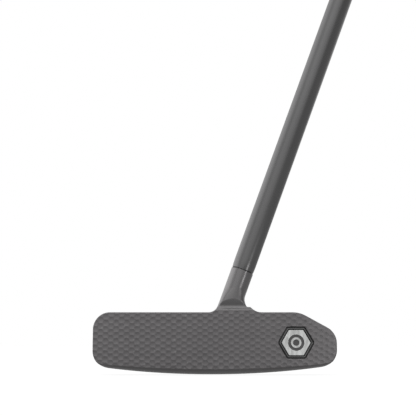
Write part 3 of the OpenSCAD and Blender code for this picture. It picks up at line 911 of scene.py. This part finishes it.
def rubber(name, dark, light, grain=2200, strength=0.4):
    """Matt rubber with a fine moulded grain and paler, worn high spots."""
    n = Nodes(name)
    pores = n.add("TexVoronoi", Vector=n.position(), Scale=grain * 0.6).outputs["Distance"]
    cloud = n.noise(90, 4)
    paler_where_pointy = n.ramp(n.add("NewGeometry").outputs["Pointiness"], 0.5, 0.58)
    base = n.blend(n.ramp(cloud, 0.35, 0.65), dark, light)
    n.set(Base_Color=n.blend(n.math("MULTIPLY", paler_where_pointy, 0.5), base, tuple(c * 1.9 for c in light)),
          Roughness=n.ramp(n.noise(700, 3), 0.3, 0.7, 0.62, 0.78))
    n.bump(n.math("ADD", pores, n.noise(grain, 2)), strength, 0.0001)
    return n.material


def paint(name, dark, light, rough=0.45):
    """Paint, glue or tape with a soft mottle."""
    n = Nodes(name)
    n.set(Base_Color=n.blend(n.ramp(n.noise(420, 4), 0.35, 0.65), dark, light),
          Roughness=n.ramp(n.noise(1500, 2), 0.3, 0.7, rough - 0.06, rough + 0.08))
    n.bump(n.noise(1800, 2), 0.15, 0.0001)
    return n.material


def dress(node, material):
    """Gives a CAD node, which stays as it is, its material."""
    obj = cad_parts[node]
    obj.data.materials.clear()
    obj.data.materials.append(material)


# ---- studio ---------------------------------------------------------------------------------


# Brightness of the studio around the object: an even level, and softboxes given as
# (direction, half width in degrees at full level, half width at which it fades out, level).
AMBIENT = 0.60
SOFTBOXES = [((-0.95, 0.31, 0.08), 15, 58, 1.25),
             ((-0.20, -0.97, 0.20), 18, 50, 0.40),
             ((0.00, -0.35, 1.00), 18, 60, 0.85),
             ((0.80, -0.45, 0.50), 8, 50, -0.22),
             ((0.45, 0.85, 0.20), 10, 60, 0.35)]


def world_level(tree):
    """Sums the softboxes over the direction of a ray."""
    direction = tree.nodes.new("ShaderNodeTexCoord").outputs["Generated"]
    level = AMBIENT
    for aim, full, fade, gain in SOFTBOXES:
        dot = tree.nodes.new("ShaderNodeVectorMath")
        dot.operation = "DOT_PRODUCT"
        tree.links.new(direction, dot.inputs[0])
        dot.inputs[1].default_value = Vector(aim).normalized()
        spot = tree.nodes.new("ShaderNodeMapRange")
        spot.interpolation_type = "SMOOTHSTEP"
        tree.links.new(dot.outputs["Value"], spot.inputs["Value"])
        spot.inputs["From Min"].default_value = math.cos(math.radians(fade))
        spot.inputs["From Max"].default_value = math.cos(math.radians(full))
        spot.inputs["To Max"].default_value = gain
        level = tree_math(tree, "ADD", spot.outputs[0], level)
    return level


def seen_as(tree, plain, level):
    """A strength that is plain where the camera sees a surface, and level as light on things."""
    seen = tree.nodes.new("ShaderNodeLightPath").outputs["Is Camera Ray"]
    hidden = tree_math(tree, "MULTIPLY", level, tree_math(tree, "SUBTRACT", 1.0, seen))
    return tree_math(tree, "ADD", hidden, tree_math(tree, "MULTIPLY", seen, plain))


BACKDROP_SEEN, FLOOR_SEEN, FLOOR_GLOW, FLOOR_SIDE = 1.0, 0.93, 0.42, 6


def build_studio():
    """The white backdrop and the floor, whose glow lights the object less than it shows."""
    world = bpy.data.worlds.new("studio")
    world.use_nodes = True
    tree = world.node_tree
    back = tree.nodes["Background"]
    tree.links.new(seen_as(tree, BACKDROP_SEEN, world_level(tree)), back.inputs["Strength"])
    back.inputs["Color"].default_value = (1, 1, 1, 1)
    bpy.context.scene.world = world
    bpy.context.scene.view_settings.view_transform = "Standard"

    mesh = bpy.data.meshes.new("floor")
    corners = [(-FLOOR_SIDE, -FLOOR_SIDE, 0), (FLOOR_SIDE, -FLOOR_SIDE, 0),
               (FLOOR_SIDE, FLOOR_SIDE, 0), (-FLOOR_SIDE, FLOOR_SIDE, 0)]
    mesh.from_pydata(corners, [], [(0, 1, 2, 3)])
    floor = bpy.data.objects.new("floor", mesh)
    bpy.context.scene.collection.objects.link(floor)
    n = Nodes("pale_floor")
    n.set(Base_Color=(0.1, 0.1, 0.1, 1), Roughness=0.9, Specular_IOR_Level=0.0)
    n.shader.inputs["Emission Color"].default_value = (1, 1, 1, 1)
    n.tree.links.new(seen_as(n.tree, FLOOR_SEEN, FLOOR_GLOW), n.shader.inputs["Emission Strength"])
    floor.data.materials.append(n.material)


STRIP_PLACE = Vector((0.112, -0.135, 0.012))
STRIP_TARGET = Vector((AXIS_X + 14, AXIS_Y, 38)) * MM
STRIP_SIZE, STRIP_POWER = (0.028, 0.016), 0.012


def build_strip():
    """A small low light in front of the heel, reflected down the neck as a thin line."""
    data = bpy.data.lights.new("strip", "AREA")
    data.shape = "RECTANGLE"
    data.size, data.size_y = STRIP_SIZE
    data.energy = STRIP_POWER
    obj = bpy.data.objects.new("strip", data)
    obj.location = STRIP_PLACE
    aim = STRIP_TARGET - STRIP_PLACE
    obj.rotation_euler = aim.to_track_quat("-Z", "Y").to_euler()
    obj.visible_camera = False
    bpy.context.scene.collection.objects.link(obj)


CAMERA_PLACE = Vector((-0.00135, -0.4283, 0.01356))
CAMERA_PITCH = math.radians(8.446)
CAMERA_LENS = 79.82


def build_camera():
    """The camera in front of the face, close above the floor and tipped up a little."""
    data = bpy.data.cameras.new("camera")
    data.lens = CAMERA_LENS
    data.clip_start = 0.01
    obj = bpy.data.objects.new("camera", data)
    obj.location = CAMERA_PLACE
    obj.rotation_euler = (math.pi / 2 + CAMERA_PITCH, 0, 0)
    bpy.context.scene.collection.objects.link(obj)
    bpy.context.scene.camera = obj


# ---- the scene ------------------------------------------------------------------------------

build_camera()
build_studio()
build_strip()
as_piece(build_head(), "head_body", head_steel())
plate = build_badge("badge_metal_plate", badge_metal, 0.14, 9.2, -1.1)
as_piece(plate, "badge_plate", badge_steel())
darken_ridge(plate, dark_ridge())
border = build_badge("badge_border", badge_enamel, 0.14, 9.2, -0.6)
as_piece(border, "badge_border_fill",
         enamel("border_enamel", (0.004, 0.004, 0.004), (0.010, 0.010, 0.010)))
dots = build_badge("badge_motif", motif_enamel, 0.1, 4.2, -0.35)
as_piece(dots, "badge_motif_fill",
         enamel("motif_enamel", (0.055, 0.054, 0.055), (0.085, 0.083, 0.084)))
as_piece(build_shaft(), "shaft", shaft_steel())
as_piece(build_grip_cover(), "grip_cover",
         rubber("grip_skin", (0.012, 0.012, 0.013), (0.02, 0.02, 0.021)))
as_piece(build_grip_cap(), "grip_cap",
         rubber("cap_rubber", (0.010, 0.010, 0.010), (0.017, 0.017, 0.017), 1800, 0.3))
as_piece(build_grip_ring(), "grip_end_ring",
         rubber("collar_rubber", (0.010, 0.010, 0.010), (0.017, 0.017, 0.017), 1800, 0.3))
dress("grip_core", rubber("grip_foam", (0.02, 0.02, 0.02), (0.035, 0.035, 0.035), 900, 0.6))
dress("hosel_epoxy", paint("epoxy", (0.006, 0.006, 0.006), (0.016, 0.016, 0.016), 0.35))
dress("badge_adhesive", paint("adhesive", (0.55, 0.50, 0.36), (0.66, 0.60, 0.45), 0.6))
dress("grip_tape", paint("tape", (0.62, 0.56, 0.42), (0.72, 0.66, 0.52), 0.7))
dress("sight_line_fill", paint("sight_paint", (0.74, 0.74, 0.72), (0.84, 0.84, 0.82), 0.4))
